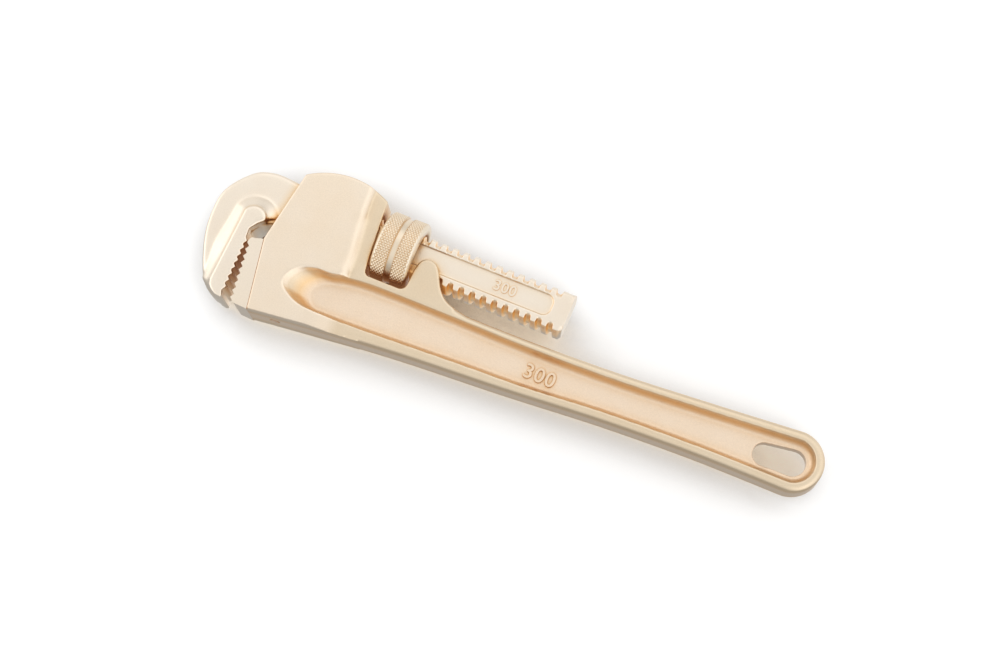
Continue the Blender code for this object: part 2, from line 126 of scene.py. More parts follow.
# ---- the knurl: diamonds round the nut, distance between them along it, depth, flank steepness
KNURL_ROUND = 48
KNURL_ALONG = 1.3
KNURL_DEEP = 0.4
KNURL_STEEP = 1.45
# points round one diamond, and distance between rings along the nut
KNURL_POINTS = 16
KNURL_STEP = 0.11
# the nut's eased rim, as distance from its end and drop below its radius
NUT_RIM = ((0.0, 1.3), (0.12, 1.0), (0.42, 0.55), (0.8, 0.22))
NUT_RIM_WIDTH = 1.1
NUT_GROOVE_FLANK = 0.35
NUT_FLANK_GAP = 0.42


def clamp(value, low=0.0):
    """The value, kept between low and 1."""
    return min(1.0, max(low, value))


def curve(points, steps=8):
    """Points of a smooth open curve through the given ones."""
    ends = [points[0]] + list(points) + [points[-1]]
    out = []
    for a, b, c, d in zip(ends, ends[1:], ends[2:], ends[3:]):
        for k in range(steps):
            t = k / steps
            point = []
            for i in (0, 1):
                bend = (2 * a[i] - 5 * b[i] + 4 * c[i] - d[i]) * t * t
                twist = (3 * b[i] - a[i] - 3 * c[i] + d[i]) * t**3
                point.append(0.5 * (2 * b[i] + (c[i] - a[i]) * t + bend + twist))
            out.append(tuple(point))
    return out + [tuple(points[-1])]


def arc(cx, cy, r, start, end, steps):
    """Points of an arc between two angles in degrees, both ends included."""
    angles = [math.radians(start + (end - start) * k / steps) for k in range(steps + 1)]
    return [(cx + r * math.cos(a), cy + r * math.sin(a)) for a in angles]


def corners(points, steps=10):
    """A closed outline from (x, y, radius) corners."""
    out = []
    for k, (x, y, r) in enumerate(points):
        if r <= 0:
            out.append((x, y))
            continue
        px, py = points[k - 1][:2]
        nx, ny = points[(k + 1) % len(points)][:2]
        a = math.atan2(py - y, px - x)
        b = math.atan2(ny - y, nx - x)
        half = abs((b - a + math.pi) % math.tau - math.pi) / 2
        reach = r / math.tan(half)
        p = (x + reach * math.cos(a), y + reach * math.sin(a))
        q = (x + reach * math.cos(b), y + reach * math.sin(b))
        away = r / math.sin(half)
        mid = ((p[0] + q[0]) / 2 - x, (p[1] + q[1]) / 2 - y)
        size = math.hypot(*mid)
        cx, cy = x + mid[0] / size * away, y + mid[1] / size * away
        s = math.atan2(p[1] - cy, p[0] - cx)
        e = math.atan2(q[1] - cy, q[0] - cx)
        turn = (e - s + math.pi) % math.tau - math.pi
        for j in range(steps + 1):
            t = s + turn * j / steps
            out.append((cx + r * math.cos(t), cy + r * math.sin(t)))
    return out


def inset(outline, width):
    """The outline moved inwards, by one width or one width per point; it runs anticlockwise."""
    widths = [width] * len(outline) if isinstance(width, (int, float)) else width
    out = []
    count = len(outline)
    for k, (x, y) in enumerate(outline):
        ax, ay = outline[k - 1]
        bx, by = outline[(k + 1) % count]
        ux, uy = x - ax, y - ay
        vx, vy = bx - x, by - y
        ul, vl = math.hypot(ux, uy) or 1, math.hypot(vx, vy) or 1
        mx, my = -(uy / ul + vy / vl), ux / ul + vx / vl
        size = math.hypot(mx, my) or 1
        mx, my = mx / size, my / size
        grow = max(0.5, mx * -uy / ul + my * ux / ul)
        out.append((x + mx * widths[k] / grow, y + my * widths[k] / grow))
    return out


def placed(name, data):
    """A new object in the scene."""
    thing = bpy.data.objects.new(name, data)
    bpy.context.scene.collection.objects.link(thing)
    return thing


def solid(name, rings, caps=True):
    """A closed mesh from rings of (x, y, z) that share a count, first and last ones capped."""
    mesh = bpy.data.meshes.new(name)
    made = bmesh.new()
    rows = [[made.verts.new(point) for point in ring] for ring in rings]
    count = len(rows[0])
    pairs = list(zip(rows, rows[1:])) if caps else list(zip(rows, rows[1:] + rows[:1]))
    for low, high in pairs:
        for k in range(count):
            j = (k + 1) % count
            made.faces.new((low[k], low[j], high[j], high[k]))
    if caps:
        made.faces.new(list(reversed(rows[0])))
        made.faces.new(rows[-1])
    made.normal_update()
    bmesh.ops.triangulate(made, faces=made.faces[:], ngon_method="EAR_CLIP")
    if made.calc_volume(signed=True) < 0:
        bmesh.ops.reverse_faces(made, faces=made.faces[:])
    made.to_mesh(mesh)
    made.free()
    return placed(name, mesh)


def block(name, outline, half, edge=0.0, steps=1, face=None):
    """A plate about the mid-plane whose edges round off over the depth of edge, in to the outline
    of its face, which is edge inside its own where none is given."""
    if not edge:
        return solid(name, [[(x, y, MID + s * half) for x, y in outline] for s in (-1, 1)])
    top = inset(outline, edge) if face is None else face
    levels = []
    for k in range(steps + 1):
        t = math.pi / 2 * k / steps
        share = 1 - math.cos(t)
        z = half - edge + edge * math.sin(t)
        ring = [
            (x + (tx - x) * share, y + (ty - y) * share)
            for (x, y), (tx, ty) in zip(outline, top)
        ]
        levels.append((ring, z))
    rings = [[(x, y, MID - z) for x, y in ring] for ring, z in reversed(levels)]
    rings += [[(x, y, MID + z) for x, y in ring] for ring, z in levels]
    return solid(name, rings)


def rod(name, r, start, end, axis, centre, steps):
    """A round bar along X or Y."""
    rings = []
    for along in (start, end):
        ring = []
        for k in range(steps):
            a = math.tau * k / steps
            u, v = r * math.cos(a), r * math.sin(a)
            if axis == "X":
                ring.append((along, centre[0] + u, centre[1] + v))
            else:
                ring.append((centre[0] + u, along, centre[1] - v))
        rings.append(ring)
    return solid(name, rings)


def combine(thing, tool, operation):
    """Applies one Boolean and drops the tool."""
    step = thing.modifiers.new("step", "BOOLEAN")
    step.operation = operation
    step.solver = "MANIFOLD"
    step.object = tool
    baked(thing)
    bpy.data.objects.remove(tool, do_unlink=True)
    return thing


def baked(thing):
    """Applies every modifier of a piece."""
    bpy.context.view_layer.update()
    graph = bpy.context.evaluated_depsgraph_get()
    made = bpy.data.meshes.new_from_object(thing.evaluated_get(graph))
    thing.modifiers.clear()
    thing.data = made
    return thing


def join(thing, tool):
    """Adds the tool to the piece."""
    return combine(thing, tool, "UNION")


def cut(thing, tool):
    """Takes the tool out of the piece."""
    return combine(thing, tool, "DIFFERENCE")


def helix(name, inner, outer, inner_w, outer_w, x_from, x_to, per_turn):
    """The shank's right-handed ridge, which tapers from its foot to its crest."""
    first = math.floor((x_from - THREAD_PHASE_X) / PITCH * per_turn)
    last = math.ceil((x_to - THREAD_PHASE_X) / PITCH * per_turn)
    rings = []
    for k in range(first, last + 1):
        a = math.tau * k / per_turn
        x = THREAD_PHASE_X + PITCH * k / per_turn
        section = ((inner, -inner_w / 2), (outer, -outer_w / 2),
                   (outer, outer_w / 2), (inner, inner_w / 2))
        rings.append([(x + w, r * math.cos(a), MID + r * math.sin(a)) for r, w in section])
    return solid(name, rings)


def seam(shift):
    """The face where the heel jaw meets the housing, moved along X."""
    return [(-14.75 + shift, -49.4), (-20.6 + shift, -18.7)]


def dome():
    """The housing's crown, from the window side to the front corner."""
    ax, ay = CROWN_REAR
    bx, by = CROWN_FRONT
    rise = CROWN_RISE
    mx, my = (ax + bx) / 2, (ay + by) / 2
    half = math.hypot(ax - bx, ay - by) / 2
    r = (half * half + rise * rise) / (2 * rise)
    lean = math.atan2(ay - by, ax - bx)
    cx, cy = mx + (r - rise) * math.sin(lean), my - (r - rise) * math.cos(lean)
    s = math.degrees(math.atan2(ay - cy, ax - cx))
    e = math.degrees(math.atan2(by - cy, bx - cx))
    return arc(cx, cy, r, s, e, 36)


def lower_edge():
    """The handle's edge on the heel side, from the mouth to the tail."""
    return curve([(-14.9, -49.3), (6.8, -46.9), (51.0, -42.8), (97.0, -40.0), (140.0, -36.8),
                  (180.0, -35.2), (TAIL[0], TAIL[1] - TAIL[2])])


def upper_edge():
    """The handle's edge on the hook side, from the tail to the lug."""
    return curve([(TAIL[0], TAIL[1] + TAIL[2]), (180.0, -12.4), (140.0, -15.2), (100.0, -16.6),
                  (72.0, -16.7)])


def lug_edge():
    """The lug behind the window, from its rear foot to its front face."""
    return curve([(72.0, -16.7), (62.5, -14.6), (57.2, -10.2), (53.4, -3.6), (50.6, -0.7),
                  (47.2, -0.2), (44.4, -2.2), (43.3, -6.0)])


def make_handle():
    """The handle and its housing as one casting: two plates of different thickness, less the
    window, the passage for the shank, the channels and the openings."""
    tail = arc(*TAIL, -90, 90, 40)
    outline = lower_edge()[:-1] + tail + upper_edge()[1:-1] + lug_edge()
    crown = [p for p in dome() if p[0] > 12.0]
    outline += [(41.0, -9.0), (41.0, -13.0), (24.4, -13.0)] + crown + [(8.0, 10.0), (-6.0, -20.0)]
    thing = block("handle", outline, HANDLE_HALF, EDGE_R * 0.8, 8, face=handle_face(outline))
    head = dome() + [(-20.6, -18.7), (-14.75, -49.35)]
    head += [p for p in lower_edge() if -14 < p[0] < 36]
    head += [(36.0, -30.0), (36.0, -18.5), (26.0, -18.5)]
    widths = [HEAD_EDGE + HEAD_EDGE_GROWTH * clamp((x - 2.0) / 28.0) if y < -40.0 else HEAD_EDGE
              for x, y in head]
    top = block("head", head, HEAD_HALF, HEAD_HALF - HANDLE_HALF + 0.25, 8,
                face=inset(head, widths))
    for side in (1, -1):
        cut(top, roll(side))
    join(thing, top)
    # window for the nut, open at the back
    cut(thing, block("window", corners([(24.9, -16.6, 2.2), (43.3, -16.6, 3.0), (43.3, 30.0, 0),
                                        (19.9, 30.0, 0)]), WINDOW_CUT_HALF))
    # passage for the shank: a rocking space on the heel side of the housing, a saddle at the rear
    cut(thing, block("passage", [(-34.0, -13.4), (14.0, -12.2), (30.0, -11.6), (30.0, 10.5),
                                 (-34.0, 10.5)], SLOT_HALF))
    cut(thing, block("saddle", corners([(38.0, -10.7, 0), (66.0, -10.7, 0), (66.0, 20.0, 0),
                                        (38.0, 20.0, 0)]), SLOT_HALF))
    for side in (1, -1):
        cut(thing, channel(side))
    cut(thing, block("hang", hang_outline(), HANG_CUT_HALF))
    cut(thing, block("tongue_slot", tongue_outline(TONGUE_GAP, TONGUE_LOW - TONGUE_GAP),
                     TONGUE_HALF + TONGUE_GAP))
    cut(thing, rod("pin_bore", PIN_R + PIN_HOUSING_GAP, -60.0, -34.0, "Y", (PIN_X, MID), 40))
    cut(thing, rod("spring_pocket", 3.6, -21.5, -8.0, "Y", (-9.0, MID), 20))
    return thing


def roll(side, steps=20):
    """A cutter that rolls the housing's face down to the handle: tight beside the window, a long
    ease along the lower flange."""
    stations = [(14.5, 26.0, 3.8, 0.0), (15.6, 9.3, 3.8, 0.0), (18.4, -9.2, 4.0, 0.0),
                (19.2, -19.0, 4.4, 0.0), (22.0, -26.0, 9.0, 0.5), (27.0, -36.0, 19.0, 1.0),
                (29.0, -60.0, 21.0, 1.0)]
    drop = HEAD_HALF - HANDLE_HALF
    most = math.radians(ROLL_TURN)
    # the cutter starts before the roll and above the face, and ends past it and below the handle's
    before, skim, past, sink = 0.6, 0.05, 0.4, 0.3
    above, rear = HEAD_HALF + 4.0, 70.0
    rings = []
    for x, y, width, ease in stations:
        ring = [(x - width - before, HEAD_HALF + skim)]
        for k in range(1, steps + 1):
            a = most * k / steps
            s = width * math.sin(a) / math.sin(most)
            tight = drop * (1 - math.cos(a)) / (1 - math.cos(most))
            long = drop * (0.5 - 0.5 * math.cos(math.pi * s / width))
            ring.append((x - width + s, HEAD_HALF - tight * (1 - ease) - long * ease))
        ring += [(x + past, HANDLE_HALF - sink), (rear, HANDLE_HALF - sink), (rear, above),
                 (x - width - before, above)]
        rings.append([(u, y, MID + side * h) for u, h in ring])
    return solid("roll", rings)


def handle_face(outline):
    """The handle's flat face outline: eased on the outside edges, tight where it meets the head."""
    tight = 0.25
    widths = []
    for x, y in outline:
        outside = 1.0 if x > 58.0 else tight
        if y < -35.0:
            outside = clamp((x + 5.0) / 40.0, tight)
        if 40.0 < x < 66.0 and y > -17.6:
            outside = tight
        widths.append(EDGE_R * outside)
    return inset(outline, widths)


def channel_edges():
    """The channel's rim, and its floor, as matching anticlockwise outlines."""
    low = curve([(11.9, -39.5), (38.0, -38.6), (79.0, -36.7), (107.0, -35.6), (140.0, -33.0),
                 (180.0, -31.5), (TAIL[0], -31.4)])
    end = arc(TAIL[0], TAIL[1], 9.1, -84, 84, 32)
    high = curve([(TAIL[0], -13.2), (180.0, -16.1), (140.0, -18.7), (100.0, -19.7), (60.0, -19.4),
                  (30.0, -19.6), (16.4, -21.0)])
    scoop = curve([(16.4, -21.0), (12.0, -22.0), (5.1, -22.2), (-1.2, -24.3), (-5.0, -29.0),
                   (-5.2, -33.4), (-0.5, -37.0), (5.1, -38.9), (11.9, -39.5)])
    rim = low[:-1] + end + high[1:-1] + scoop[:-1]
    floor = inset(rim, 2.4)
    first = len(low) - 1 + len(end) + len(high) - 2
    landing = curve([(17.6, -23.6), (13.2, -24.4), (10.2, -25.8), (7.6, -28.0), (6.3, -31.0),
                     (6.9, -34.0), (8.6, -35.9), (10.8, -37.0), (13.2, -37.3)])
    for k, p in enumerate(landing[:-1]):
        floor[first + k] = p
    return rim, floor


def channel(side, steps=9):
    """A cutter that hollows one face of the handle down to the web."""
    rim, floor = channel_edges()
    top = HEAD_HALF + 2.0
    rings = [[(x, y, top) for x, y in rim]]
    turn = math.radians(WALL_TURN)
    for k in range(steps + 1):
        t = k / steps
        side_share = (1 - math.cos(turn * t)) / (1 - math.cos(turn))
        side_drop = math.sin(turn * t) / math.sin(turn)
        scoop_drop = 0.62 * t + 0.38 * math.sin(math.pi / 2 * t)
        ring = []
        for (x, y), (fx, fy) in zip(rim, floor):
            ridge = HANDLE_HALF + (HEAD_HALF - HANDLE_HALF) * clamp((20.0 - x) / 16.0)
            open_end = clamp((11.0 - x) / 12.0)
            share = side_share + (t - side_share) * open_end
            drop = side_drop + (scoop_drop - side_drop) * open_end
            ring.append((x + (fx - x) * share, y + (fy - y) * share,
                         ridge + (WEB_HALF - ridge) * drop))
        rings.append(ring)
    rings = [[(x, y, MID + side * z) for x, y, z in ring] for ring in rings]
    return solid("channel", rings)


def hang_outline():
    """The hanging slot: two round ends of different size, joined by straight sides."""
    return arc(*HANG_LEFT, 92, 268, 30) + arc(*HANG_RIGHT, -92, 92, 30)


def tongue_outline(grow, low_y):
    """The heel jaw's tongue in plan, a slide that enters from the heel side."""
    return [(-22.0, low_y), (0.9 + grow, low_y), (0.9 + grow, -41.5 + grow), (-2.6, -38.0 + grow),
            (-12.0, -30.0 + grow), (-22.0, -30.0 + grow)]


def hook_teeth():
    """Tooth corners from the lowest tooth up to the throat."""
    out = [(HOOK_VALLEY_X, BAR_END_Y + 3.2)]
    first = HOOK_TEETH_TOP - TOOTH_PITCH * HOOK_TEETH
    for k in range(HOOK_TEETH):
        y = first + TOOTH_PITCH * k
        out.append((HOOK_TIP_X, y + HOOK_TOOTH_RISE))
        out.append((HOOK_VALLEY_X, y + TOOTH_PITCH))
    return out


def bar_outline():
    """The raised tooth bar with its round upper end."""
    kx, ky, kr = KNOB
    out = [(-32.0, -47.3), (-29.4, -48.6), (-26.9, BAR_END_Y), (-26.4, -48.0)] + hook_teeth()
    out += [(-27.7, -16.8), (-25.6, -13.7)]
    out += arc(kx, ky, kr, 8, 160, 30)
    return out + [BAR_LEFT_TOP, (-33.65, -27.0), BAR_LEFT_LOW, (-33.6, -45.6)]


def make_hook():
    """The hook jaw as one forging: the arch, the tooth bar on its slope and the threaded shank."""
    back = curve([(-10.0, 9.9), (-17.0, 10.3), (-25.5, 11.0), (-31.6, 10.2), (-37.2, 7.6),
                  (-43.4, 0.8), (-46.8, -6.0), (-47.4, -14.0), (-46.4, -23.0), (-43.6, -32.0),
                  (-39.4, -41.2), (-36.0, -45.7), (-32.0, -48.2), (-28.0, -49.0)])
    front = [(-27.7, -46.0), (-27.7, -30.0), (-27.7, -18.5), (-27.2, -16.6), (-25.2, -13.3),
             (-22.0, -11.1), (-18.0, -9.9), (THREAD_FROM + 1.7, -9.9)]
    outline = front + [(THREAD_FROM + 1.7, 9.9)] + back
    arch = block("hook_jaw", outline, SHANK_HALF, 1.4, 6, face=hook_face(outline))
    bar = bar_outline()
    foot = [swell(p) for p in bar]
    rings = []
    sunk, edge, levels = 0.9, 0.5, 12
    for k in range(levels + 1):
        t = k / levels
        share = 0.5 - 0.5 * math.cos(math.pi * t)
        z = (SHANK_HALF - sunk) + (HEAD_HALF - edge - SHANK_HALF + sunk) * t
        rings.append(([(x + (fx - x) * (1 - share), y + (fy - y) * (1 - share))
                       for (x, y), (fx, fy) in zip(bar, foot)], z))
    rings.append((inset(bar, 0.35), HEAD_HALF))
    slope = [[(x, y, MID - z) for x, y in ring] for ring, z in reversed(rings)]
    slope += [[(x, y, MID + z) for x, y in ring] for ring, z in rings]
    join(arch, solid("bar", slope))
    # threaded shank: a rod with one right-handed ridge, flattened on both sides
    core = rod("core", ROOT_R, THREAD_FROM, SHANK_END, "X", (0.0, MID), 96)
    join(core, helix("ridge", ROOT_R - 0.6, CREST_R, BASE_W + 0.3, CREST_W,
                     THREAD_FROM + 2.0, SHANK_END + 4.0, 64))
    slab = block("slab", [(THREAD_FROM, -12.0), (SHANK_END, -12.0), (SHANK_END, 12.0),
                          (THREAD_FROM, 12.0)], SHANK_HALF)
    combine(core, slab, "INTERSECT")
    join(core, end_block())
    join(arch, core)
    rim = corners([(30.0, -4.3, 0), (103.0, -4.3, 3.6), (103.0, 5.3, 3.6), (30.0, 5.3, 0)])
    sink = [(rim, SHANK_HALF + 1.0), (rim, SHANK_HALF), (inset(rim, 0.35), PANEL_HALF)]
    for side in (1, -1):
        cut(arch, solid("panel", [[(x, y, MID + side * z) for x, y in ring] for ring, z in sink]))
    return arch


def end_block():
    """The plain end of the shank, a flat-sided round with an eased end face."""
    rings = []
    for x, shrink in ((SHANK_END - 3.6, 0.0), (SHANK_END - 1.2, 0.0), (SHANK_END, 1.2)):
        half, r = SHANK_HALF - shrink * 0.8, CREST_R - 0.15 - shrink
        side = math.asin(half / r)
        ring = []
        for base in (0.0, math.pi):
            for k in range(25):
                a = base - side + 2 * side * k / 24
                ring.append((x, r * math.cos(a), MID + r * math.sin(a)))
        rings.append(ring)
    return solid("end_block", rings)


def hook_face(outline):
    """The arch's flat face outline, eased more along its back than beside the teeth."""
    return inset(outline, [1.6 if x < -14.0 and (x < -30.0 or y > 4.0) else 0.5 for x, y in outline])


def swell(point):
    """Where the slope around the tooth bar meets the arch: wide on the left and over the knob."""
    x, y = point
    kx, ky = KNOB[:2]
    if y > ky - 1.5 and x < -23.2:
        dx, dy = x - kx, y - ky
        size = math.hypot(dx, dy) or 1
        return (x + SLOPE_OVER * dx / size, y + SLOPE_OVER * dy / size)
    if x < -31.5 and y > -46.0:
        beside = min(SLOPE_BESIDE, 4.4 + (y + 43.2) * 0.17)
        return (x - (SLOPE_FOOT if y < -44.5 else beside), y)
    return point


# ------------------------------------------------------------------ finer pieces
MOST_TRIANGLES = 190000
# how far one round of relaxing moves a point, and the least share of it that counts
RELAX = 0.5
LEAST_SHARE = 0.01


def smoothed(thing, voxel, passes, soft, rounds):
    """Rounds every edge of a finished shape the way blasting does, by remeshing and relaxing it,
    then thins it. soft gives the share at a point of the further rounds of relaxing."""
    remesh = thing.modifiers.new("remesh", "REMESH")
    remesh.mode = "VOXEL"
    remesh.voxel_size = voxel
    relax = thing.modifiers.new("relax", "SMOOTH")
    relax.factor = RELAX
    relax.iterations = passes
    baked(thing)
    group = thing.vertex_groups.new(name="soft")
    for point in thing.data.vertices:
        share = soft(*point.co)
        if share > LEAST_SHARE:
            group.add([point.index], share, "REPLACE")
    more = thing.modifiers.new("more", "SMOOTH")
    more.factor = RELAX
    more.iterations = rounds
    more.vertex_group = "soft"
    baked(thing)
    count = sum(len(f.vertices) - 2 for f in thing.data.polygons)
    if count > MOST_TRIANGLES:
        thin = thing.modifiers.new("thin", "DECIMATE")
        thin.ratio = MOST_TRIANGLES / count
        baked(thing)
    return thing


def ready(thing, name, body, slot, material, *nodes, angle=None):
    """Brings a piece to metres, shades it smooth, up to an angle where one is given, and ties it to
    its body and the CAD nodes that it replaces, which it hides. The slot is not used."""
    thing.data.transform(Matrix.Scale(MM, 4))
    thing.name = thing.data.name = name
    thing.data.materials.clear()
    thing.data.materials.append(material)
    for face in thing.data.polygons:
        face.use_smooth = True
    if angle is not None:
        thing.data.set_sharp_from_angle(angle=math.radians(angle))
    even = thing.modifiers.new("even", "WEIGHTED_NORMAL")
    even.keep_sharp = True
    baked(thing)
    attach(thing, body)
    if nodes:
        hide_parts(*nodes)
    return thing


def hook_soft(x, y, z):
    """Full rounding on the arch and the slope round the tooth bar, none on teeth or thread."""
    if x > -12.0:
        return 0.0
    left = clamp((-30.6 - x) / 1.2)
    over = clamp((y - KNOB[1] + 3.6) / 2.0)
    fade = clamp((-12.0 - x) / 4.0)
    return max(left, over) * fade


def housing_soft(x, y, z):
    """Rounds the long roll where the head runs down to the handle beside the window."""
    along = clamp((x - 6.0) / 3.0) * clamp((21.8 - x) / 1.6)
    across = clamp((y + 18.0) / 2.0) * clamp((6.5 - y) / 3.0)
    return along * across * clamp(abs(z - MID) - 6.0)


def heel_block():
    """The toothed heel jaw, its crests and back edge eased."""
    line = []
    for k in range(HEEL_TEETH + 1):
        y = HEEL_TEETH_TOP - TOOTH_PITCH * k
        tip = HEEL_TIP_X + HEEL_LEAN * (HEEL_LEAN_FROM - y)
        line.append((tip, y))
        if k < HEEL_TEETH:
            low = HEEL_TIP_X + HEEL_LEAN * (HEEL_LEAN_FROM - y + HEEL_TOOTH_RUN) + HEEL_TOOTH_DEPTH
            line.append((low, y - HEEL_TOOTH_RUN))
    bottom, top = seam(SEAM_OVERLAP)
    crown = arc(-24.2, -21.4, 1.5, 75, 165, 8)
    outline = [(top[0] - 0.1, top[1] - 0.1)] + crown + line
    outline += [(-20.5, -49.0), (bottom[0] - 0.1, bottom[1] + 0.1)]
    jaw = block("heel_block", outline, HEAD_HALF, 0.12, 3)
    join(jaw, block("tongue", tongue_outline(0.0, TONGUE_LOW), TONGUE_HALF))
    cut(jaw, rod("bore", PIN_R + PIN_HEEL_GAP, -60.0, -30.0, "Y", (PIN_X, MID), 40))
    return jaw


def knurled_ring():
    """The adjusting nut: two diamond-knurled bands, a smooth groove between them, a real thread."""
    end = NUT_FROM + NUT_WIDTH
    mid = (NUT_FROM + end) / 2
    groove = NUT_GROOVE_W / 2
    outer = [(NUT_FROM + along, NUT_R - down) for along, down in NUT_RIM]
    x = NUT_FROM + NUT_RIM_WIDTH
    while x < end - NUT_RIM_WIDTH:
        away = abs(x - mid)
        if away < groove:
            r = NUT_R - NUT_GROOVE_D
        elif away < groove + NUT_GROOVE_FLANK:
            climb = math.sin((away - groove) / NUT_GROOVE_FLANK * math.pi / 2)
            r = NUT_R - NUT_GROOVE_D + (NUT_GROOVE_D - 0.05) * climb
        else:
            r = NUT_R
        outer.append((x, r))
        x += KNURL_STEP
    outer += [(end - along, NUT_R - down) for along, down in reversed(NUT_RIM)]
    ease = 0.5
    inner = [(end, NUT_BORE_R + ease), (end - ease, NUT_BORE_R), (NUT_FROM + ease, NUT_BORE_R),
             (NUT_FROM, NUT_BORE_R + ease)]
    around = KNURL_ROUND * KNURL_POINTS
    turns = [math.tau * k / around for k in range(around)]
    rings = []
    for x, r in outer:
        ring = []
        away = abs(x - mid)
        band = r > NUT_R - 0.03 and away > groove + NUT_GROOVE_FLANK
        for a in turns:
            deep = 0.0
            if band:
                u = a / math.tau * KNURL_ROUND
                v = (x - mid) / KNURL_ALONG
                one = abs((u + v) % 1.0 - 0.5) * 2
                two = abs((u - v) % 1.0 - 0.5) * 2
                deep = KNURL_DEEP * (1 - min(1.0, KNURL_STEEP * (1 - max(one, two))))
            ring.append((x, (r - deep) * math.cos(a), MID + (r - deep) * math.sin(a)))
        rings.append(ring)
    for x, r in inner:
        rings.append([(x, r * math.cos(a), MID + r * math.sin(a)) for a in turns])
    nut = solid("knurled_ring", rings, caps=False)
    slope = (BASE_W - CREST_W) / (CREST_R - ROOT_R)
    sunk = NUT_BORE_R + 1.3
    foot = PITCH - CREST_W + (sunk - CREST_R) * slope - 2 * NUT_FLANK_GAP
    crest = foot - (sunk - NUT_CREST_R) * slope
    ridge = nut_thread(sunk, NUT_CREST_R, foot, crest)
    limits = rod("limits", NUT_R - 2.0, NUT_FROM + 0.6, end - 0.6, "X", (0.0, MID), 96)
    combine(ridge, limits, "INTERSECT")
    join(nut, ridge)
    return nut


def nut_thread(outer, inner, outer_w, inner_w, per_turn=96):
    """The nut's ridge, half a pitch from the shank's."""
    first = math.floor((NUT_FROM - 2.0 - THREAD_PHASE_X) / PITCH * per_turn)
    last = math.ceil((NUT_FROM + NUT_WIDTH + 2.0 - THREAD_PHASE_X) / PITCH * per_turn)
    rings = []
    for k in range(first, last + 1):
        a = math.tau * k / per_turn
        x = THREAD_PHASE_X + PITCH * (k / per_turn + 0.5)
        rings.append([(x + w, r * math.cos(a), MID + r * math.sin(a))
                      for r, w in ((inner, -inner_w / 2), (inner, inner_w / 2),
                                   (outer, outer_w / 2), (outer, -outer_w / 2))])
    return solid("nut_ridge", rings)


def numerals(name, height, raised, x, y, z, turn=0.0):
    """A generic size in millimetres, in plain raised numerals."""
    text = bpy.data.curves.new(name, "FONT")
    text.body = "300"
    text.size = height / 0.72
    text.extrude = raised
    text.bevel_depth = 0.12
    text.bevel_resolution = 3
    text.offset = 0.02
    text.space_character = 1.08
    text.align_x = "CENTER"
    text.align_y = "CENTER"
    shape = placed(name, text)
    bpy.context.view_layer.update()
    graph = bpy.context.evaluated_depsgraph_get()
    mesh = bpy.data.meshes.new_from_object(shape.evaluated_get(graph))
    bpy.data.objects.remove(shape, do_unlink=True)
    mesh.transform(Matrix.Translation((x, y, z)) @ Matrix.Rotation(math.radians(turn), 4, "Z"))
    return placed(name, mesh)


# ------------------------------------------------------------------ shader nodes
def add_node(tree, kind, **settings):
    """A new node of a tree, with its settings."""
    made = tree.nodes.new(kind)
    for key, value in settings.items():
        setattr(made, key, value)
    return made


def feed(tree, value, socket):
    """Sets an input to a number, or links it to an output."""
    if isinstance(value, (int, float)):
        socket.default_value = value
    else:
        tree.links.new(value, socket)


def maths(tree, operation, first, second=None):
    """One sum on one or two values."""
    made = add_node(tree, "ShaderNodeMath", operation=operation)
    feed(tree, first, made.inputs[0])
    if second is not None:
        feed(tree, second, made.inputs[1])
    return made.outputs[0]


def smoothstep(tree, value, low, high):
    """0 up to low and 1 from high on, eased between them."""
    made = add_node(tree, "ShaderNodeMapRange", interpolation_type="SMOOTHSTEP")
    made.inputs["From Min"].default_value = low
    made.inputs["From Max"].default_value = high
    tree.links.new(value, made.inputs["Value"])
    return made.outputs["Result"]


def mixed(tree, kind, factor, first, second):
    """Two colours, mixed or multiplied."""
    made = add_node(tree, "ShaderNodeMix", data_type="RGBA", blend_type=kind)
    feed(tree, factor, made.inputs["Factor"])
    tree.links.new(first, made.inputs["A"])
    tree.links.new(second, made.inputs["B"])
    return made.outputs["Result"]


def ramp(tree, value, stops):
    """A ramp through (place, shade) stops, a shade being a colour or one number for a grey. The
    first two stops are the ramp's ends, and the rest lie between them."""
    made = add_node(tree, "ShaderNodeValToRGB")
    elements = made.color_ramp.elements
    for k, (place, shade) in enumerate(stops):
        element = elements[k] if k < 2 else elements.new(place)
        element.position = place
        element.color = (*shade, 1) if isinstance(shade, tuple) else (shade, shade, shade, 1)
    tree.links.new(value, made.inputs["Fac"])
    return made.outputs["Color"]


# ------------------------------------------------------------------ materials
# Stops over how open a spot is, from 0 deep in a recess to 1 in the open. A painted shade multiplies
# the bronze's colour, darker and warmer deeper in a recess, and a glow stands in for the light that
# faces throw into a recess between them.
RECESS_SHADE = ((0.1, (0.24, 0.12, 0.06)), (0.96, (1.0, 1.0, 1.0)), (0.38, (0.66, 0.42, 0.20)),
        (0.6, (0.92, 0.70, 0.43)), (0.8, (0.99, 0.93, 0.84)))
RECESS_SHADE_THREAD = ((0.1, (0.3, 0.15, 0.07)), (0.96, (1.0, 1.0, 1.0)), (0.38, (0.84, 0.59, 0.32)),
               (0.6, (0.95, 0.79, 0.55)), (0.8, (1.0, 0.95, 0.87)))
RECESS_SHADE_KNURL = ((0.1, (0.26, 0.13, 0.06)), (0.9, (1.0, 1.0, 1.0)), (0.42, (0.68, 0.44, 0.24)),
              (0.7, (0.96, 0.89, 0.79)))
BOUNCE_LIGHT = ((0.0, (0.17, 0.075, 0.032)), (0.42, (0.0, 0.0, 0.0)))
BOUNCE_LIGHT_THREAD = ((0.0, (0.17, 0.075, 0.032)), (0.8, (0.0, 0.0, 0.0)), (0.5, (0.22, 0.11, 0.022)))
RECESS_REACH = 5.0
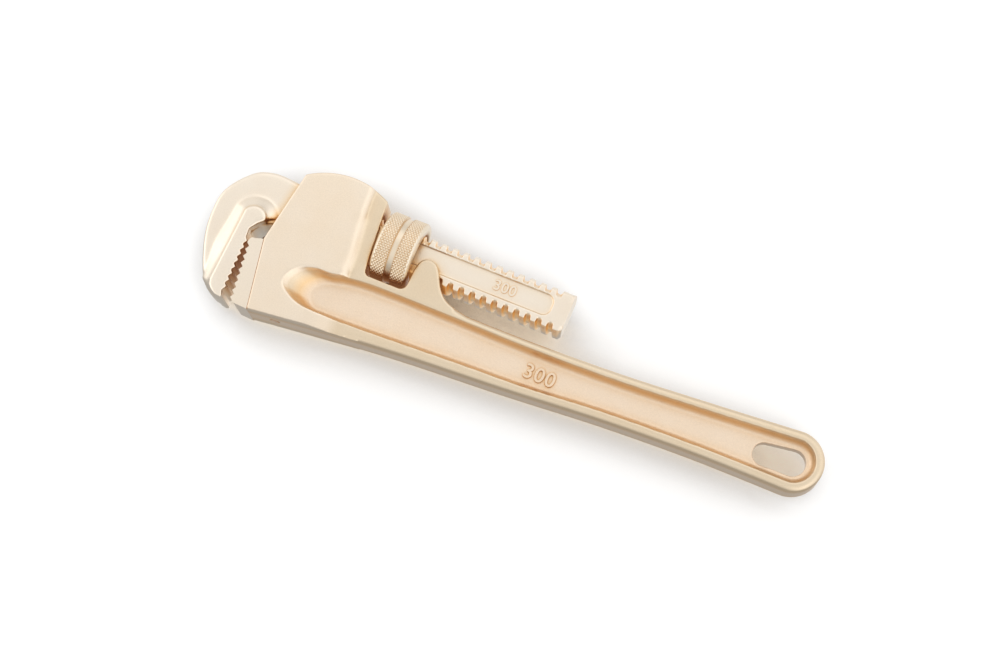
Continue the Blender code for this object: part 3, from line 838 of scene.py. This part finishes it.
# The castings' tint over the height above or below the mid-plane, as a share of LEVEL_SPAN: the web,
# the channel's walls, the handle's face and the head's face. The web's and the handle face's stops set
# their tone; the walls' darker, warmer stop is a painted shade with painted bounce light.
LEVEL_SPAN = 12.0
LEVEL_TINTS_AND_WALL_SHADE = ((0.26, (0.97, 0.93, 0.905)), (0.42, (0.92, 0.77, 0.56)), (0.62, (0.89, 0.86, 0.79)),
               (0.68, (0.89, 0.86, 0.79)), (0.74, (1.0, 1.0, 1.0)))
# where the thread's own painted shade and painted bounce light take over: beside the shank's flat
# panel, behind its plain neck
THREAD_SIDE_FROM = 6.4
THREAD_SIDE_FULL = 7.8
THREAD_RUN_IN = 6.0
# the cast skin's fade above the web, and how much coarser it is than the grain elsewhere
SKIN_NONE = WEB_HALF + 2.4
SKIN_FULL = WEB_HALF + 0.4
SKIN_COARSE = 2.6


def bronze(name, colour, tint, rough, grain, grain_size, cast=0.0, recess_shade=RECESS_SHADE, thread=False):
    """Blasted bronze: a slow drift between colour and tint, and a fine grain in colour, gloss and
    height. Recesses take a painted shade, darker and warmer the deeper they are, and a faint warm glow
    of painted bounce light, with their own painted shade and bounce light for the screw where thread
    is set. Where cast is above 0, the tint follows the height, with a painted shade on the channel's
    walls, and the web has a coarser skin whose height is multiplied by cast."""
    material = bpy.data.materials.new(name)
    material.use_nodes = True
    tree = material.node_tree
    shader = tree.nodes["Principled BSDF"]
    shader.inputs["Metallic"].default_value = 1.0
    shader.inputs["Emission Strength"].default_value = 1.0
    spot = add_node(tree, "ShaderNodeTexCoord").outputs["Object"]

    def noise(scale, detail, roughness):
        """Noise that is fixed to the piece."""
        made = add_node(tree, "ShaderNodeTexNoise")
        made.inputs["Scale"].default_value = scale
        made.inputs["Detail"].default_value = detail
        made.inputs["Roughness"].default_value = roughness
        tree.links.new(spot, made.inputs["Vector"])
        return made.outputs["Fac"]

    drift = noise(70.0, 3.0, 0.5)
    fine = noise(1000.0 / grain_size, 3.0, 0.6)
    place = add_node(tree, "ShaderNodeSeparateXYZ")
    tree.links.new(spot, place.inputs[0])
    level = maths(tree, "ABSOLUTE", maths(tree, "SUBTRACT", place.outputs["Z"], MID * MM))
    tone = ramp(tree, drift, ((0.3, tint), (0.7, colour)))
    # where cast is set, the tint by height gives the channel's walls a painted shade
    if cast:
        share = maths(tree, "DIVIDE", level, LEVEL_SPAN * MM)
        tone = mixed(tree, "MULTIPLY", 1.0, tone, ramp(tree, share, LEVEL_TINTS_AND_WALL_SHADE))
    tone = mixed(tree, "MULTIPLY", 1.0, tone, ramp(tree, fine, ((0.3, 0.90), (0.66, 1.0))))

    # recesses take a painted shade and a glow of painted bounce light, by how open each spot is
    recess = add_node(tree, "ShaderNodeAmbientOcclusion", samples=8)
    recess.inputs["Distance"].default_value = RECESS_REACH * MM
    openness = recess.outputs["AO"]
    shade = ramp(tree, openness, recess_shade)
    bounce_light = ramp(tree, openness, BOUNCE_LIGHT)
    # on the screw, the thread's own painted shade and painted bounce light
    if thread:
        across = maths(tree, "ABSOLUTE", place.outputs["Y"])
        beside = smoothstep(tree, across, THREAD_SIDE_FROM * MM, THREAD_SIDE_FULL * MM)
        behind = smoothstep(tree, place.outputs["X"], THREAD_FROM * MM,
                            (THREAD_FROM + THREAD_RUN_IN) * MM)
        where = maths(tree, "MULTIPLY", beside, behind)
        shade = mixed(tree, "MIX", where, shade, ramp(tree, openness, RECESS_SHADE_THREAD))
        bounce_light = mixed(tree, "MIX", where, bounce_light, ramp(tree, openness, BOUNCE_LIGHT_THREAD))
    tone = mixed(tree, "MULTIPLY", 1.0, tone, shade)
    tree.links.new(tone, shader.inputs["Base Color"])
    tree.links.new(bounce_light, shader.inputs["Emission Color"])

    gloss = ramp(tree, fine, ((0.25, rough + 0.06), (0.75, rough - 0.05)))
    height = fine
    if cast:
        inside = smoothstep(tree, level, SKIN_NONE * MM, SKIN_FULL * MM)
        coarse = noise(1000.0 / (grain_size * SKIN_COARSE), 4.0, 0.65)
        both = add_node(tree, "ShaderNodeMix", data_type="FLOAT")
        tree.links.new(inside, both.inputs["Factor"])
        tree.links.new(fine, both.inputs["A"])
        tree.links.new(maths(tree, "MULTIPLY", coarse, cast), both.inputs["B"])
        height = both.outputs["Result"]
        dull = ramp(tree, coarse, ((0.3, rough + 0.16), (0.7, rough + 0.06)))
        gloss = mixed(tree, "MIX", inside, gloss, dull)
    tree.links.new(gloss, shader.inputs["Roughness"])
    bump = add_node(tree, "ShaderNodeBump")
    bump.inputs["Strength"].default_value = grain
    bump.inputs["Distance"].default_value = grain_size * MM * 0.5
    tree.links.new(height, bump.inputs["Height"])
    tree.links.new(bump.outputs["Normal"], shader.inputs["Normal"])
    return material


cast_skin = bronze("cast_bronze", (0.90, 0.775, 0.625), (0.89, 0.75, 0.585), 0.36, 0.25, 0.34,
                   cast=4.0)
forged_skin = bronze("forged_bronze", (0.92, 0.82, 0.69), (0.905, 0.79, 0.65), 0.33, 0.2, 0.3,
                     thread=True)
ground_skin = bronze("ground_bronze", (0.91, 0.80, 0.66), (0.90, 0.78, 0.63), 0.34, 0.18, 0.28)
knurled_skin = bronze("knurled_bronze", (0.88, 0.775, 0.63), (0.86, 0.745, 0.59), 0.36, 0.15, 0.25,
                      recess_shade=RECESS_SHADE_KNURL)
pin_skin = bronze("pin_bronze", (0.80, 0.56, 0.38), (0.74, 0.50, 0.33), 0.32, 0.12, 0.2)
spring_skin = bronze("spring_bronze", (0.74, 0.55, 0.36), (0.66, 0.47, 0.30), 0.3, 0.1, 0.2)


# ------------------------------------------------------------------ the wrench
ready(smoothed(make_handle(), 0.42, 5, housing_soft, 120), "housing_casting", "housing",
      "cast_bronze_handle", cast_skin, "handle")
ready(smoothed(make_hook(), 0.3, 3, hook_soft, 42), "hook_forging", "hook", "cast_bronze_hook",
      forged_skin, "hook_jaw")
ready(heel_block(), "heel_block", "housing", "machined_bronze_heel", ground_skin, "heel_jaw", angle=28)
ready(knurled_ring(), "knurled_ring", "nut", "knurled_bronze_nut", knurled_skin, "adjusting_nut",
      angle=50)
ready(numerals("size_numerals_web", 6.4, 0.45, 109.0, -28.2, MID + WEB_HALF + 0.1, -1.0),
      "size_numerals_web", "housing", "cast_bronze_handle", cast_skin, angle=50)
ready(numerals("size_numerals_shank", 4.6, 0.2, 81.5, 0.6, MID + PANEL_HALF + 0.05),
      "size_numerals_shank", "hook", "cast_bronze_hook", forged_skin, angle=50)
# the hidden pieces and the pin stay as the CAD has them, in bronze
for node_name, skin in (("heel_jaw_pin", pin_skin), ("flat_spring", spring_skin),
                        ("spring_rivet", spring_skin), ("coil_spring", spring_skin)):
    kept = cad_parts[node_name]
    kept.data.materials.clear()
    kept.data.materials.append(skin)

# ------------------------------------------------------------------ stage, light and camera
# the floor touches the nut's rim
FLOOR_Z = (MID - NUT_R) * MM
FLOOR_SIZE = 4.0
FLOOR_REACH = 0.03
# the floor's colour and glow over its openness: a painted brown contact shadow, a painted warm rim of
# bounce light, then pale grey; the glow is painted bounce light in the enclosed gaps and lifts the
# open floor evenly
FLOOR_SHADOW_TONES = ((0.1, (0.2, 0.11, 0.06)), (0.66, (0.79, 0.795, 0.80)), (0.26, (0.80, 0.71, 0.60)),
               (0.42, (0.88, 0.83, 0.77)))
FLOOR_BOUNCE_LIGHT = ((0.14, (0.0, 0.0, 0.0)), (0.8, (0.25, 0.25, 0.25)), (0.28, (0.19, 0.165, 0.12)),
              (0.42, (0.2, 0.18, 0.135)), (0.56, (0.0, 0.0, 0.0)))
# the world's brightness over each component of a direction: up, along Y, along X, and along Y
# again below the horizon
SKY_UP = ((0.0, 1.0), (1.0, 0.86), (0.2, 1.02), (0.5, 1.05), (0.85, 0.89))
SKY_Y = ((-1.0, 0.3), (1.0, 0.72), (-0.86, 0.72), (-0.62, 1.02), (-0.25, 1.1), (0.0, 1.0),
         (0.5, 0.86))
SKY_X = ((-1.0, 0.92), (1.0, 1.0), (-0.8, 1.05), (-0.5, 1.24), (-0.25, 1.0), (0.22, 1.0),
         (0.42, 1.5), (0.8, 1.25))
GROUND_Y = ((-0.26, 0.46), (0.3, 1.0), (0.03, 0.6), (0.14, 0.95))
GROUND_LOW = -0.3
HORIZON = 0.06
# the camera: its sensor in millimetres, and the photo's focal length and width in pixels
SENSOR = 36.0
FOCAL_PIXELS = 1990.0
PHOTO_PIXELS = 1000.0
CAMERA_PLACE = (0.19440, -0.18935, 0.81783)
CAMERA_TURN = (13.955, 2.318, 22.810)


def floor():
    """A pale floor with a painted shadow and painted warm bounce light where the wrench hides each
    spot. Reflections don't see it.
    """
    mesh = bpy.data.meshes.new("studio_floor")
    mesh.from_pydata([(x * FLOOR_SIZE, y * FLOOR_SIZE, FLOOR_Z)
                      for x, y in ((-1, -1), (1, -1), (1, 1), (-1, 1))], [], [(0, 1, 2, 3)])
    thing = placed("studio_floor", mesh)
    material = bpy.data.materials.new("studio_floor")
    material.use_nodes = True
    tree = material.node_tree
    shader = tree.nodes["Principled BSDF"]
    shader.inputs["Roughness"].default_value = 0.9
    shader.inputs["Specular IOR Level"].default_value = 0.1
    shader.inputs["Emission Strength"].default_value = 1.0
    # painted contact shadow and painted warm bounce light on the floor, by how open each spot is
    near = add_node(tree, "ShaderNodeAmbientOcclusion", samples=16)
    near.inputs["Distance"].default_value = FLOOR_REACH
    for socket, stops in (("Base Color", FLOOR_SHADOW_TONES), ("Emission Color", FLOOR_BOUNCE_LIGHT)):
        tree.links.new(ramp(tree, near.outputs["AO"], stops), shader.inputs[socket])
    mesh.materials.append(material)
    thing.visible_glossy = False


def softbox(name, place, aim, size, power):
    """A rectangular area light that faces a point."""
    light = bpy.data.lights.new(name, "AREA")
    light.shape = "RECTANGLE"
    light.size, light.size_y = size
    light.energy = power
    thing = placed(name, light)
    thing.location = place
    thing.rotation_euler = (Vector(aim) - Vector(place)).to_track_quat("-Z", "Y").to_euler()


def studio():
    """A white studio round the wrench, brighter and darker by direction, and two soft lights."""
    world = bpy.data.worlds.new("studio")
    bpy.context.scene.world = world
    world.use_nodes = True
    tree = world.node_tree
    sky = tree.nodes["Background"]
    parts = add_node(tree, "ShaderNodeSeparateXYZ")
    tree.links.new(add_node(tree, "ShaderNodeTexCoord").outputs["Generated"], parts.inputs[0])

    def over(value, low, stops):
        """A grey ramp over a direction component that runs from low to 1."""
        span = add_node(tree, "ShaderNodeMapRange")
        span.inputs["From Min"].default_value = low
        tree.links.new(value, span.inputs["Value"])
        shifted = [((place - low) / (1.0 - low), shade) for place, shade in stops]
        return ramp(tree, span.outputs["Result"], shifted)

    east, north, height = (parts.outputs[axis] for axis in "XYZ")
    upper = mixed(tree, "MULTIPLY", 1.0, over(height, 0.0, SKY_UP), over(north, -1.0, SKY_Y))
    upper = mixed(tree, "MULTIPLY", 1.0, upper, over(east, -1.0, SKY_X))
    lower = over(north, GROUND_LOW, GROUND_Y)
    side = smoothstep(tree, height, -HORIZON, HORIZON)
    tree.links.new(mixed(tree, "MIX", side, lower, upper), sky.inputs["Color"])
    sky.inputs["Strength"].default_value = 1.0
    softbox("back_box", (0.05, 0.75, 0.95), (0.09, -0.02, 0.0), (1.2, 0.9), 1.6)
    softbox("left_box", (-0.9, 0.0, 0.45), (0.05, -0.02, 0.0), (0.9, 0.7), 1.2)


def camera():
    """The photo's camera, as fitted to it."""
    lens = bpy.data.cameras.new("camera")
    lens.sensor_width = SENSOR
    lens.lens = SENSOR * FOCAL_PIXELS / PHOTO_PIXELS
    lens.clip_start = 0.01
    thing = placed("camera", lens)
    thing.location = CAMERA_PLACE
    thing.rotation_euler = tuple(math.radians(turn) for turn in CAMERA_TURN)
    bpy.context.scene.camera = thing


floor()
studio()
camera()
view = bpy.context.scene.view_settings
view.view_transform = "Standard"
view.look = "None"
view.exposure = 0.0
